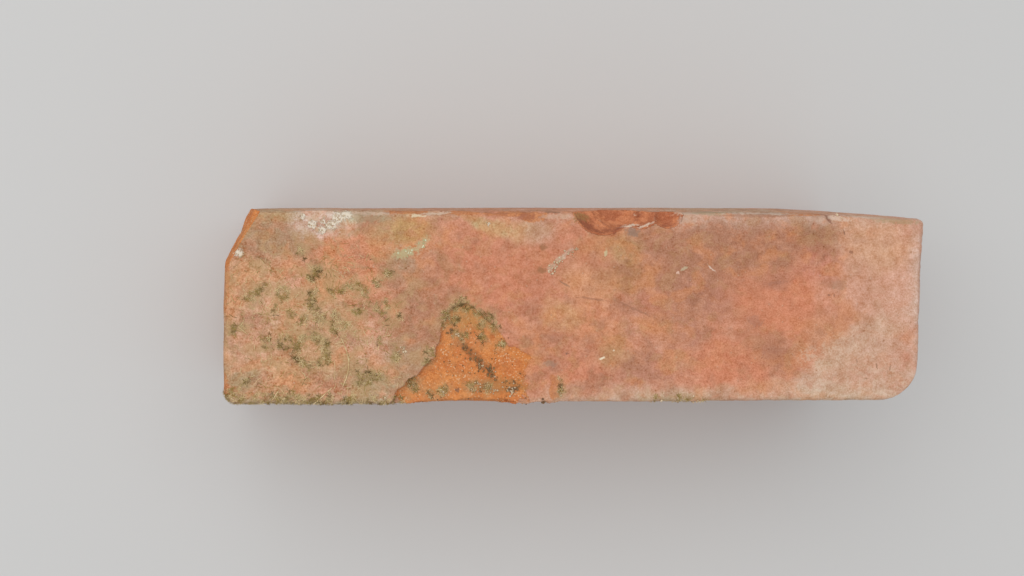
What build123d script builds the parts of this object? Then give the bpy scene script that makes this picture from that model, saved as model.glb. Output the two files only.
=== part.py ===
"""A hand-moulded red clay brick, old and worn, in one solid.

The brick stands on one of its long narrow faces, the stretcher, with the other
stretcher on top. X runs along the brick, Y from the struck bed face at the
front to the slumped bed face at the back, and Z up. The origin is the middle
of the face that it stands on. All sizes are in millimetres.
"""

import os
from math import atan2, degrees, sqrt

from build123d import *

# Overall sizes
length = 221.0  # X, end to end
thickness = 62.5  # Y, from bed face to bed face at the belly
width = 105.0  # Z, from stretcher to stretcher

# How the soft clay settled. Each level of the brick has its own outline: its
# back side stands in from the belly by these amounts at the left end, at its
# fullest point and at the right end, and its right end is out of square by a skew.
belly_height = 45.0
belly_place = 70.0  # X of the fullest point of the back side, at the belly and the foot
arris_place = 20.0  # the same at the top
foot_back = (2.4, 1.8, 4.2)
belly_back = (1.0, 0.0, 2.8)
top_back = (2.1, 2.6, 4.6)
foot_skew = 0.6
belly_skew = 1.1
top_skew = 2.1
left_back_lean = 1.4  # how far the left end stands in at its back corner
left_front_lean = 0.2  # and at its front corner
strike_skew = 1.2  # the struck front stands in this much more at the left end
top_hollow = 0.6  # the top face sinks this much along its length
trim = 1.0  # extra clay that the strike and the top's hollow take off

# Arrises, as the mould left them and as handling has softened them
mould_arris_radius = 2.3  # three uprights and the rim of the foot
left_front_arris_radius = 4.2
top_arris_radius = 1.8

# Front right corner, worn round at the top and less so further down
worn_top_radius = 13.8
worn_middle_radius = 6.5
worn_foot_radius = 4.0

# Back left corner, broken off, at the top, at the ledge below it and at the foot:
# reach along the back side, reach along the left end, and flatness of the broken
# line, which is 1 where it runs straight and less where it bulges to the corner
break_top = (13.2, 22.0, 0.95)
break_ledge = (10.6, 19.2, 0.95)
break_foot = (9.6, 20.5, 0.95)
break_ledge_depth = 7.0

# Bites out of the top arrises, each the hollow of a knock: centre along X, half
# length along the arris, reach into the top face and drop down the bed face
back_bites = (
    (6.4, 9.2, 6.7, 8.0),
    (11.4, 7.5, 3.9, 11.5),
    (18.2, 6.8, 4.7, 6.0),
    (26.8, 4.6, 4.5, 4.5),
    (80.6, 3.8, 3.0, 2.2),
    (-45.2, 13.0, 1.5, 2.4),
    (-68.6, 5.5, 1.8, 2.0),
    (-81.6, 8.6, 7.1, 1.5),
)
front_bites = (
    (-37.4, 20.0, 1.9, 9.0),
    (-8.6, 4.5, 1.1, 1.8),
    (14.4, 5.0, 1.2, 1.6),
)

# Three-sided spall, the scar of a flake that split off the top face. Its corners
# are given along X and in from the front bed face.
spall_outline = (
    (-58.5, -1.0),
    (-58.1, 4.7),
    (-54.2, 8.5),
    (-51.4, 9.7),
    (-48.3, 13.4),
    (-46.0, 15.1),
    (-45.1, 18.9),
    (-43.1, 25.9),
    (-41.5, 28.5),
    (-39.3, 30.8),
    (-37.2, 31.9),
    (-32.2, 28.3),
    (-26.6, 23.6),
    (-23.5, 18.5),
    (-20.3, 17.7),
    (-16.6, 16.1),
    (-14.5, 13.0),
    (-15.0, 8.0),
    (-15.8, -1.0),
)
spall_deep = 3.0  # depth at its front left corner, below the ends of the top face
spall_rise_right = 1.5  # how much shallower it is at its right side
spall_rise_back = 0.6  # how much shallower it is at its apex

front = -thickness / 2
back = thickness / 2
left = -length / 2
right = length / 2


def arris_line(x):
    """Y of the top's back arris at x."""
    at_left, at_fullest, at_right = top_back
    if x < arris_place:
        share = (arris_place - x) / (arris_place - left)
        return back - at_fullest - (at_left - at_fullest) * share**2
    share = (x - arris_place) / (right - arris_place)
    return back - at_fullest - (at_right - at_fullest) * share**2


def front_line(x):
    """Y of the struck front at x."""
    return front + strike_skew * (right - x) / length


def clay_outline(height, inset, place, skew):
    """One level of the clay, seen from above, with a strip to strike off in front."""
    at_left, at_fullest, at_right = inset
    front_left = (left + left_front_lean, front - trim)
    front_right = (right - skew, front - trim)
    back_right = (right, back - at_right)
    fullest = (place, back - at_fullest)
    back_left = (left + left_back_lean, back - at_left)
    with BuildSketch(Plane.XY.offset(height)) as level:
        with BuildLine():
            Line(front_left, front_right)
            ThreePointArc(front_right, (right - skew * 0.7, 0), back_right)
            TangentArc(fullest, back_right, tangent=(1, 0))
            TangentArc(fullest, back_left, tangent=(-1, 0))
            ThreePointArc(back_left, (left, -thickness / 8), front_left)
        make_face()
    return level.sketch


def worn_section(height, radius):
    """What wear takes off the front right corner at one height: all outside an arc."""
    side = right - top_skew * 0.9
    with BuildSketch(Plane.XY.offset(height)) as section:
        with BuildLine():
            Line((side - radius, front), (side - radius, front - trim))
            Line((side - radius, front - trim), (right + trim, front - trim))
            Line((right + trim, front - trim), (right + trim, front + radius))
            Line((right + trim, front + radius), (side, front + radius))
            RadiusArc((side, front + radius), (side - radius, front), radius)
        make_face()
    return section.sketch


def break_section(height, reach):
    """What the break takes off the back left corner at one height."""
    along_back, along_end, flatness = reach
    back_point = (left + along_back, back)
    end_point = (left, back - along_end)
    bend = (
        left + along_back / 2 * flatness,
        back - along_end / 2 * flatness,
    )
    with BuildSketch(Plane.XY.offset(height)) as section:
        with BuildLine():
            ThreePointArc(end_point, bend, back_point)
            Line(back_point, (left + along_back, back + trim))
            Line((left + along_back, back + trim), (left - trim, back + trim))
            Line((left - trim, back + trim), (left - trim, back - along_end))
            Line((left - trim, back - along_end), end_point)
        make_face()
    return section.sketch


def bite(x, y, outward, half_length, reach, drop):
    """A ball that bites into the top arris at x, y; outward is the bed face's side."""
    beside = (half_length**2 - reach**2) / (2 * reach)
    above = (half_length**2 - drop**2) / (2 * drop)
    radius = sqrt(half_length**2 + beside**2 + above**2)
    with BuildPart() as ball:
        with Locations((x, y + outward * beside, width + above)):
            Sphere(radius)
    return ball.part


with BuildPart() as worn_corner:
    loft(
        [
            worn_section(-trim, worn_foot_radius),
            worn_section(width / 2, worn_middle_radius),
            worn_section(width + trim, worn_top_radius),
        ]
    )

with BuildPart() as broken_corner:
    loft(
        [
            break_section(-trim, break_foot),
            break_section(width - break_ledge_depth, break_ledge),
            break_section(width + trim, break_top),
        ],
        ruled=True,
    )

with BuildPart() as spall:
    spall_left = spall_outline[0][0]
    spall_right = spall_outline[-1][0]
    spall_reach = max(inward for _, inward in spall_outline)
    floor = Plane((spall_left, front, width - spall_deep)).rotated(
        (
            degrees(atan2(spall_rise_back, spall_reach)),
            -degrees(atan2(spall_rise_right, spall_right - spall_left)),
            0,
        )
    )
    with BuildSketch(floor):
        with BuildLine():
            Polyline([(x - spall_left, inward) for x, inward in spall_outline], close=True)
        make_face()
    extrude(amount=spall_deep + trim)

with BuildPart() as brick:
    loft(
        [
            clay_outline(0, foot_back, belly_place, foot_skew),
            clay_outline(belly_height, belly_back, belly_place, belly_skew),
            clay_outline(width + trim, top_back, arris_place, top_skew),
        ]
    )

    # The front bed face is struck off flat, a little out of square
    struck = Plane((right, front, 0), x_dir=(-length, strike_skew, 0), z_dir=(strike_skew, length, 0))
    split(bisect_by=struck, keep=Keep.TOP)

    # The top face is a little hollow along its length
    with BuildSketch(Plane.XZ) as hollow:
        reach = right + trim
        rim = width - top_hollow + top_hollow * (reach / right) ** 2
        with BuildLine():
            ThreePointArc((-reach, rim), (0, width - top_hollow), (reach, rim))
            Polyline(
                (reach, rim),
                (reach, width + 2 * trim),
                (-reach, width + 2 * trim),
                (-reach, rim),
            )
        make_face()
    extrude(amount=thickness, both=True, mode=Mode.SUBTRACT)

    # Arrises: the rounder upright at the front left first, then the other three
    # with the rim of the foot, and last the rim of the top
    tall = brick.edges().filter_by(lambda e: e.bounding_box().size.Z > width / 2)
    uprights = tall.filter_by(lambda e: abs(e.center().X) > length / 3)
    left_front = uprights.sort_by(lambda e: e.center().X + e.center().Y)[0]
    fillet(left_front, left_front_arris_radius)
    tall = brick.edges().filter_by(lambda e: e.bounding_box().size.Z > width / 2)
    uprights = tall.filter_by(lambda e: abs(e.center().X) > length / 3)
    others = uprights.sort_by(lambda e: e.center().X + e.center().Y)[2:]
    foot_face = brick.faces().sort_by(Axis.Z)[0]
    fillet(others + foot_face.edges(), mould_arris_radius)
    top_face = brick.faces().sort_by(Axis.Z)[-1]
    fillet(top_face.edges(), top_arris_radius)

    # Wear and damage
    add(worn_corner.part, mode=Mode.SUBTRACT)
    add(broken_corner.part, mode=Mode.SUBTRACT)
    add(spall.part, mode=Mode.SUBTRACT)
    for x, half_length, reach, drop in back_bites:
        add(bite(x, arris_line(x), 1, half_length, reach, drop), mode=Mode.SUBTRACT)
    for x, half_length, reach, drop in front_bites:
        add(bite(x, front_line(x), -1, half_length, reach, drop), mode=Mode.SUBTRACT)

brick.part.label = "brick"

os.makedirs("parts", exist_ok=True)
export_step(brick.part, "parts/brick.step")
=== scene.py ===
"""Dresses an old hand-moulded clay brick with its skin, growth and litter.

Lengths named in millimetres are measured on the brick: X along it, Y through it
from the struck bed face to the slumped one, Z up from the face it stands on.
"""

from math import cos, radians, sin

import bmesh
import bpy
from bpy.props import FloatProperty, FloatVectorProperty, IntProperty, PointerProperty
from mathutils import Matrix, Vector


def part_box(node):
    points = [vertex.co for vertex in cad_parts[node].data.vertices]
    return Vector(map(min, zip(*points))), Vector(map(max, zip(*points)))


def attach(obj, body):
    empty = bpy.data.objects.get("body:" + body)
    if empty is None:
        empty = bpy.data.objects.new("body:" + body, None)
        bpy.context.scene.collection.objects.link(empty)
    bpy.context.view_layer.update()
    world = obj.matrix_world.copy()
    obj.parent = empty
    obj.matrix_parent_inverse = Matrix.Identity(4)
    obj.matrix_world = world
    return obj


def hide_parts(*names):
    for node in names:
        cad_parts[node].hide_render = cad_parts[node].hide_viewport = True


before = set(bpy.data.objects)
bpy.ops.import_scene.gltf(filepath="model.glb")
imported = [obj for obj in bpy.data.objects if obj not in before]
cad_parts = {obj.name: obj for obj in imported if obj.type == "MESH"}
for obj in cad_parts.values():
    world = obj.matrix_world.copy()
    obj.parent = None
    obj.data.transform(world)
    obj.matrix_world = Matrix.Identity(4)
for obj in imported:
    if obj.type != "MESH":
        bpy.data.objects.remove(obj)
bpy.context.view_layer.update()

bl_info = {
    "name": "Old clay brick",
    "version": (1, 0, 0),
    "blender": (4, 5, 0),
    "location": "3D View > Sidebar > Brick",
    "description": "Builds the weathered skin, growth and litter of an old clay brick",
    "category": "Object",
}

METRE = 1000.0  # in millimetres
LOW, HIGH = (Vector(corner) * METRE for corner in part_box("brick"))
HOLLOW = 0.6  # how far the top face sinks in its middle, in millimetres
TOP = HIGH.z - 0.5  # about the height of the top face's middle
FINE_ABOVE = 0.094  # the skin's faces stay finer above this height, in metres
STRAW_LIFT = 0.00012  # how far every other point of a straw stands off the clay, in metres
MIDDLE = (0.5, 0.5, 0.5)  # the mean of a coloured noise
GREY = (0.5, 0.5, 0.5, 1.0)
FULL_TURN = 6.283
ON_MESH = "GeometryNodeTree"
ON_CLAY = "ShaderNodeTree"

# Clay colours, as they look in even daylight
SALMON = (0.6, 0.228, 0.128)
BRIGHT_SALMON = (0.63, 0.228, 0.122)
ROSE = (0.6, 0.28, 0.175)
PEACH = (0.64, 0.355, 0.215)
TAN = (0.56, 0.32, 0.17)
OCHRE = (0.52, 0.3, 0.11)
ORANGE_TAN = (0.61, 0.32, 0.15)
ORANGE = (0.62, 0.25, 0.105)
RED_ORANGE = (0.62, 0.24, 0.125)
DUSKY = (0.405, 0.185, 0.108)
PURPLISH = (0.42, 0.183, 0.118)
SOOTY = (0.34, 0.22, 0.13)
GREY_OLIVE = (0.36, 0.27, 0.15)
OLIVE_TAN = (0.45, 0.28, 0.12)
SANDY = (0.61, 0.4, 0.27)
LIME = (0.78, 0.68, 0.54)

# Knocks on the back top arris: centre along X, half length, reach, drop. They
# show fresh clay. Their hollows are in the solid.
CHIPS = (
    (6.4, 9.2, 6.7, 8.0),
    (11.4, 7.5, 3.9, 11.5),
    (18.2, 6.8, 4.7, 6.0),
    (26.8, 4.6, 4.5, 4.5),
)
CHIP_ARRIS_Y = 28.65

# The scar of the spall on the top face: its middle and its reach
SCAR_CENTRE = (-35.1, -16.5, TOP)
SCAR_REACH = (27.0, 20.0, 9.0)

# Soft stains of the top face, which run a little way down the sides, each over
# those before it: colour, centre X and Y, reach along X and Y, turn in degrees, strength
STAINS = (
    (TAN, -92, -3, 44, 42, 0, 0.85), (DUSKY, -53, -2, 14, 15, 20, 0.6), (SALMON, -29, 11, 19, 11, 0, 0.65),
    (DUSKY, 30, 11, 21, 17, -5, 0.72), (DUSKY, 60, 20, 27, 10, -4, 0.82),
    (BRIGHT_SALMON, 62, 0, 21, 9, -6, 0.85), (BRIGHT_SALMON, 50, -19, 17, 11, 20, 0.8),
    ((0.65, 0.345, 0.235), 98, 8, 17, 22, 0, 0.85), (PEACH, 92, 19, 12, 9, 0, 0.8),
    ((0.63, 0.42, 0.28), 85.0, -21.6, 23, 9, 41, 0.88), ((0.66, 0.47, 0.34), 94, -28, 30, 7, 0, 0.85),
    ((0.66, 0.26, 0.145), -65, 0, 7, 9, 0, 0.65), (RED_ORANGE, -71, 16, 16, 9, 0, 0.85),
    (SOOTY, -96, 21, 12, 9, -20, 0.72), ((0.46, 0.35, 0.16), -94, 28, 6, 3, 0, 0.65),
    (ORANGE_TAN, -100, 9, 6, 5, 0, 0.5), (ROSE, -89, 9, 5, 6, 0, 0.7), (ORANGE_TAN, -78, 8, 6, 5, 0, 0.55),
    (ROSE, -101, -2, 6, 4, 0, 0.45), ((0.65, 0.35, 0.23), -102, -13, 8, 9, 10, 0.6),
    ((0.65, 0.38, 0.235), -92, -1, 9, 7, 0, 0.65), (ORANGE_TAN, -92, -19, 7, 4, 10, 0.5),
    (ORANGE, -88, -23, 6, 2, 0, 0.35), (GREY_OLIVE, -105.5, -23, 7, 6, 0, 0.72),
    (GREY_OLIVE, -66, -22.5, 10, 6, 0, 0.75), (ROSE, -77, -26, 6, 2.5, 0, 0.5),
    ((0.66, 0.37, 0.25), -68, -13, 8, 8, 0, 0.65), ((0.42, 0.3, 0.14), -61, 22, 5, 7, 10, 0.6),
    (OCHRE, -53.5, 23, 6, 5, 0, 0.75), ((0.69, 0.5, 0.41), -81, 25.5, 9, 5, 0, 0.85),
    ((0.64, 0.58, 0.38), -71.5, 27, 4, 2.4, 0, 0.8), ((0.42, 0.28, 0.17), -56, -18, 7, 7, 0, 0.6),
    ((0.5, 0.41, 0.2), -31, 25, 5, 1.8, -25, 0.8), ((0.6, 0.41, 0.21), -23, 23, 7.5, 2.8, -15, 0.8),
    ((0.6, 0.37, 0.25), -14, 22, 5, 4, 0, 0.7), (PURPLISH, -16, -2, 5, 6, 0, 0.3),
    ((0.38, 0.25, 0.15), -55.5, 12.5, 6, 4, 0, 0.8), ((0.46, 0.215, 0.13), -46.5, 13, 6, 5, 0, 0.5),
    (ORANGE_TAN, -7, -3, 6, 5, 0, 0.75), (DUSKY, -11, -13, 7, 8, 0, 0.4),
    ((0.67, 0.32, 0.165), 3.5, 7, 8, 7, 0, 0.8), ((0.65, 0.28, 0.155), -17, -8, 5, 4, 0, 0.6),
    ((0.57, 0.24, 0.105), 5, 18, 7, 4, 0, 0.65), (OLIVE_TAN, 13, 17, 6, 5, 0, 0.55),
    ((0.45, 0.215, 0.09), 14.5, 7.5, 8, 4.5, 0, 0.65), ((0.54, 0.2, 0.12), 22, 0.5, 6, 4, 0, 0.55),
    (PURPLISH, 40, 2, 10, 4.5, -25, 0.65), (PURPLISH, 33.5, -9.5, 6, 4, 0, 0.55),
    (ORANGE, 25.5, -7, 6, 3, -30, 0.65), (ORANGE, 4.5, -8.5, 7, 5, 0, 0.55),
    (OLIVE_TAN, 10, -16, 6, 4, 0, 0.5), (PURPLISH, 19, -20.5, 10, 4.5, 0, 0.55),
    ((0.32, 0.17, 0.085), 75, 22.5, 7, 4, -20, 0.6), ((0.57, 0.2, 0.13), 75.5, 12.5, 7, 5, 0, 0.6),
    (DUSKY, 61, -15.5, 10, 5, -40, 0.65), (PURPLISH, 62, 6.5, 5, 2.5, 10, 0.6),
    ((0.59, 0.27, 0.135), 75.5, -10, 7, 5, 30, 0.6), ((0.67, 0.39, 0.28), 102.5, 2, 4, 10, 0, 0.5),
    ((0.6, 0.33, 0.235), 96, -16, 8, 7, 0, 0.5), ((0.54, 0.26, 0.17), 102, -26, 5, 4, 0, 0.6),
    ((0.67, 0.49, 0.39), 110, 0, 4, 28, 0, 0.8), ((0.38, 0.31, 0.18), -84, -31, 30, 3.4, 0, 0.85),
    ((0.6, 0.43, 0.3), 35, -31, 78, 4.8, 0, 0.7), ((0.44, 0.36, 0.2), 30, -30.5, 12, 2.4, 0, 0.6),
    ((0.6, 0.42, 0.32), 54, 29, 60, 4.8, 0, 0.55), ((0.44, 0.36, 0.23), 48, 31.4, 24, 2.4, 0, 0.65),
    ((0.52, 0.4, 0.29), -70, 30, 40, 3.2, 0, 0.45), (ROSE, 86, -23.5, 9, 4, 0, 0.55),
    (ORANGE_TAN, 60.5, -25.5, 6, 2, 0, 0.5), ((0.62, 0.24, 0.1), -18, -18, 4.5, 9, -12, 0.75),
    ((0.5, 0.25, 0.15), -7, 12.5, 4, 4, 0, 0.4), ((0.66, 0.25, 0.135), 63, -8, 6, 4, 0, 0.5),
    ((0.66, 0.29, 0.17), 58, -27, 9, 3, 0, 0.5), ((0.52, 0.29, 0.16), -97, 13, 6, 4, 0, 0.45),
)

# Spots of the top face: centre X and Y, reach along X and Y, strength.
# First the arrises that are rubbed down to orange clay.
WORN_PLACES = (
    (-110.5, 11, 2.2, 15, 1.0), (-110.5, -24, 2.2, 4, 1.0), (-55, 28.9, 7, 0.8, 1.0),
    (-37, 28.4, 6, 0.7, 1.0), (-22, 28.2, 11, 1.1, 1.0), (-15.6, 26.9, 4, 1.4, 1.0),
    (72, 28.6, 8, 0.8, 1.0), (-9, -26, 2, 4, 1.0),
)

# Where the face is smooth and evenly burnt
CALM_PLACES = (
    (100, 9, 16, 23, 1.0), (64, 0, 20, 9, 1.0), (-14, 12, 16, 12, 0.8), (3, 7, 7, 7, 0.7),
    (50, -18, 15, 11, 0.8), (92, -19, 22, 12, 0.9),
)

# Pale salt bloom
BLOOM_PLACES = (
    (78, -18, 9, 6, 0.8), (87, -12, 8, 5, 0.4), (95, -7, 7, 5, 0.2), (94, -22, 10, 6, 0.55),
    (102, -27, 10, 3, 0.9), (80, -27, 14, 4, 0.8), (-81, 25, 9, 5, 1.0), (-72, 27, 3.5, 2.6, 1.0),
    (86, 27, 14, 2, 0.5), (-54, 17, 6, 2.5, 0.5), (-5, 26, 6, 2, 0.4), (60, -29, 50, 2.5, 0.55),
    (-85, -28, 26, 2.5, 0.45), (34, 26, 6, 2.5, 0.5),
)

# The olive dusting round the moss
VEIL_PLACES = ((-84, -5, 34, 32, 1.0),)

# Small sharp marks: colour, centre X and Y, reach along X and Y, turn in degrees, strength
MARKS = (
    ((0.66, 0.5, 0.38), -66.7, 28.1, 6.5, 0.6, 0, 0.6), ((0.36, 0.27, 0.16), -66.5, 26.6, 6.5, 1.3, 0, 0.5),
    ((0.74, 0.62, 0.42), -51.4, 27.3, 2.2, 0.55, 0, 0.8),
    ((0.7, 0.54, 0.4), -45.8, 28.1, 4.2, 0.45, 3, 0.7), ((0.64, 0.46, 0.33), -7.2, 27.2, 5.2, 0.8, 0, 0.35),
    ((0.8, 0.66, 0.48), 18.0, 28.0, 0.8, 0.5, 0, 0.9), ((0.2, 0.11, 0.06), -9.6, 28.6, 2.2, 0.45, 0, 0.6),
    ((0.34, 0.22, 0.08), 0.2, 27.2, 2.6, 1.6, 0, 0.5), ((0.8, 0.61, 0.46), 15.2, 24.5, 3.0, 0.38, 8, 0.85),
    ((0.8, 0.61, 0.46), 20.0, 24.6, 2.6, 0.34, 20, 0.8),
    ((0.68, 0.52, 0.39), 33.0, 28.4, 4.0, 0.45, 0, 0.6),
    ((0.56, 0.42, 0.33), 32.2, 25.9, 2.0, 1.1, 0, 0.45), ((0.38, 0.31, 0.18), 41, 28.6, 6.0, 0.7, 0, 0.5),
    ((0.66, 0.52, 0.4), 58, 28.4, 13, 0.4, 0, 0.65), ((0.36, 0.17, 0.1), 56, 27.6, 12, 0.4, 0, 0.5),
    ((0.58, 0.43, 0.32), 75.6, 26.9, 2.6, 1.0, 0, 0.32),
    ((0.22, 0.09, 0.055), 78.8, 27.0, 0.6, 1.8, 30, 0.7),
    ((0.7, 0.54, 0.42), 82.4, 26.8, 3.4, 0.8, -5, 0.6), ((0.66, 0.52, 0.4), 92, 27.2, 9, 0.4, -4, 0.55),
    ((0.34, 0.26, 0.13), 101, 26.0, 7.0, 0.8, -5, 0.5),
    ((0.26, 0.14, 0.085), -6.0, 6.4, 1.8, 0.32, -30, 0.6),
    ((0.32, 0.14, 0.08), 3.0, 1.7, 4.5, 0.35, -8, 0.55),
    ((0.32, 0.14, 0.08), 16.5, -1.6, 5.5, 0.35, -24, 0.55),
    ((0.34, 0.15, 0.07), -12.5, 17.7, 1.2, 1.0, 0, 0.8),
    ((0.34, 0.15, 0.07), -12.9, 10.7, 1.3, 1.1, 0, 0.8), ((0.24, 0.18, 0.14), 15.6, 22.4, 2.0, 1.2, 0, 0.6),
    ((0.34, 0.15, 0.1), 62.0, 6.6, 3.2, 0.6, 8, 0.4), ((0.46, 0.43, 0.23), -55.3, 16.0, 3.4, 1.4, 10, 0.7),
    ((0.52, 0.44, 0.25), -50.2, 18.8, 3.0, 1.0, 40, 0.6),
    ((0.64, 0.52, 0.4), -4.9, 15.9, 2.0, 0.6, 40, 0.4), ((0.66, 0.56, 0.42), -7.4, 14.0, 1.8, 0.7, 30, 0.4),
    ((0.6, 0.5, 0.38), -9.8, 11.5, 1.4, 1.0, 40, 0.45),
    ((0.34, 0.23, 0.17), -10.2, -18.3, 1.8, 1.0, 0, 0.45),
    ((0.6, 0.52, 0.3), 7.3, 16.1, 0.45, 1.1, 0, 0.75), ((0.78, 0.52, 0.4), 30.1, 9.7, 0.45, 0.35, 0, 0.8),
    ((0.58, 0.5, 0.32), 32.1, 11.0, 1.1, 0.4, 25, 0.6),
    ((0.76, 0.58, 0.46), 41.0, 11.0, 1.3, 0.25, -45, 0.75),
    ((0.86, 0.72, 0.52), 6.0, -16.9, 0.8, 0.32, 10, 0.95),
    ((0.8, 0.64, 0.46), 9.9, -14.5, 0.4, 0.3, 0, 0.75), ((0.36, 0.18, 0.11), 82.1, 5.8, 2.0, 1.6, 0, 0.45),
    ((0.2, 0.09, 0.05), 83.7, 22.4, 0.2, 0.7, 15, 0.75),
    ((0.26, 0.11, 0.06), 86.1, 16.4, 0.5, 0.6, 30, 0.65), ((0.24, 0.1, 0.06), 80.5, 2.8, 0.2, 0.7, 0, 0.75),
    ((0.24, 0.1, 0.06), 78.6, 2.5, 0.4, 0.25, 0, 0.65),
    ((0.36, 0.165, 0.11), 60.6, -15.6, 3.2, 2.0, 20, 0.3),
    ((0.34, 0.16, 0.11), 54.9, -5.5, 2.6, 1.6, -20, 0.4),
    ((0.28, 0.15, 0.08), 94.5, -20.0, 0.2, 0.9, 10, 0.75),
    ((0.28, 0.15, 0.08), 99.0, -20.6, 0.25, 1.0, -15, 0.65),
    ((0.3, 0.16, 0.09), 88.0, -18.4, 0.2, 0.7, 20, 0.6), ((0.3, 0.18, 0.1), 91.0, -23.9, 0.9, 0.2, 10, 0.6),
    # Painted shade: a thin dark line just inside the right end's top arris
    ((0.44, 0.21, 0.14), 108.6, 9, 0.45, 15, -2, 0.45),
    ((0.36, 0.12, 0.06), -17.5, 27.2, 2.6, 1.2, 0, 0.65),
    ((0.42, 0.16, 0.08), -27.0, 27.8, 3.4, 0.9, 0, 0.5), ((0.36, 0.2, 0.07), 1.0, 27.0, 3.6, 1.6, 0, 0.6),
    ((0.3, 0.09, 0.045), 2.0, 24.6, 4.4, 1.0, -30, 0.75), ((0.3, 0.09, 0.045), 8.2, 23.2, 3.4, 0.7, 2, 0.7),
    ((0.3, 0.085, 0.045), 11.2, 23.2, 3.0, 0.5, 38, 0.6),
    ((0.3, 0.085, 0.045), 26.8, 24.6, 2.6, 0.6, 12, 0.55),
    ((0.42, 0.25, 0.08), -36.4, -3.6, 6.0, 3.4, 0, 0.42),
    ((0.4, 0.24, 0.09), -29.0, -6.5, 4.0, 1.6, -48, 0.4),
    ((0.28, 0.115, 0.045), -33.4, -16.4, 8.0, 1.3, -46, 0.6),
    ((0.34, 0.17, 0.06), -27.0, -25.2, 10.0, 2.2, 0, 0.5),
)

# Places where moss and algae sit: X, Y, reach, all on the top face
MOSS_PLACES = (
    (-82.4, 10.4, 1.9), (-84.0, 8.2, 1.3), (-83.6, 4.1, 1.7), (-84.2, 1.4, 1.7), (-82.8, -1.2, 2.0),
    (-81.0, -3.6, 2.0), (-102.0, 2.6, 1.7), (-99.6, 4.4, 1.6), (-98.0, 6.4, 1.2), (-87.2, 16.3, 1.6),
    (-77.6, 4.1, 1.4), (-63.6, 6.8, 1.5), (-59.9, 9.8, 1.5), (-70.3, -2.1, 1.4), (-77.0, -6.4, 2.1),
    (-74.4, -5.8, 1.7), (-76.4, -3.2, 1.5), (-107.7, -7.1, 1.6), (-105.0, -6.2, 1.1), (-97.3, -11.1, 1.8),
    (-80.2, -11.6, 1.9), (-78.7, -14.6, 1.9), (-79.0, -17.0, 1.5), (-68.8, -22.9, 2.1), (-66.0, -21.9, 2.1),
    (-63.4, -22.4, 1.6), (-58.1, -15.6, 1.7), (-48.0, -14.8, 1.6), (-89.6, -3.0, 1.7), (-86.6, -4.4, 1.6),
    (-63.0, -11.0, 1.1), (-103.2, -23.1, 1.2), (-90.2, -27.4, 1.3), (-94.6, -1.0, 1.2), (-57.4, -3.0, 1.0),
)
SCAR_MOSS_PLACES = (
    (-39.8, -4.6, 1.8), (-36.4, -1.0, 1.4), (-33.0, -3.0, 1.5), (-31.4, -6.4, 1.6), (-39.7, -8.6, 1.5),
    (-42.4, -3.4, 1.9), (-43.2, -6.4, 1.4), (-39.6, -0.6, 1.8), (-37.1, 0.9, 1.8), (-34.2, -1.0, 1.5),
    (-31.8, -2.6, 1.5), (-29.4, -4.0, 1.7), (-27.4, -6.4, 1.4), (-37.7, -9.7, 1.6), (-31.5, -10.4, 1.5),
    (-25.4, -12.6, 1.2), (-48.6, -17.8, 1.4), (-52.9, -24.3, 2.2), (-43.6, -26.2, 1.8), (-47.0, -27.4, 1.7),
    (-34.6, -25.4, 1.6), (-29.6, -25.6, 1.4), (-7.0, -23.0, 0.9), (-7.0, -25.2, 1.1), (-7.0, -27.4, 1.1),
)

# Moss that has grown outwards and left its middle bare: centre X and Y, radius,
# first and last angle in degrees, reach of the growth
MOSS_RINGS = (
    (-84.1, -13.9, 4.3, -250, -20, 1.1), (-84.1, -13.9, 4.4, -20, 75, 1.8),
    (-91.3, -11.3, 1.9, 0, 330, 1.05), (-92.3, 3.6, 1.5, 20, 330, 0.9), (-71.2, 2.8, 3.8, 5, 155, 1.25),
    (-62.0, -0.6, 1.6, 0, 300, 0.9),
)

# The fringe that hangs over the struck face's top arris, thickest at the left
FRINGE_PLACES = (
    *((-109.2 + 3.1 * step, -28.3 - 0.09 * step, 3.0 - 0.075 * step) for step in range(18)),
    (22.6, -29.8, 1.0), (26.0, -29.4, 1.4), (29.8, -29.6, 1.5), (33.6, -29.8, 1.1), (38.0, -30.0, 0.9),
)
DUSTING_PLACES = (
    (-98, 2, 13), (-84, -10, 14), (-68, -6, 12), (-92, -24, 12), (-68, -24, 10), (-74, 10, 10),
)
LICHEN_PLACES = (
    (-57.4, 15.7, 1.3), (-55.0, 15.9, 1.8), (-52.8, 16.8, 1.1), (-50.3, 18.6, 1.3), (-49.0, 19.6, 0.9),
    (-7.2, 14.2, 1.2),
)

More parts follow.
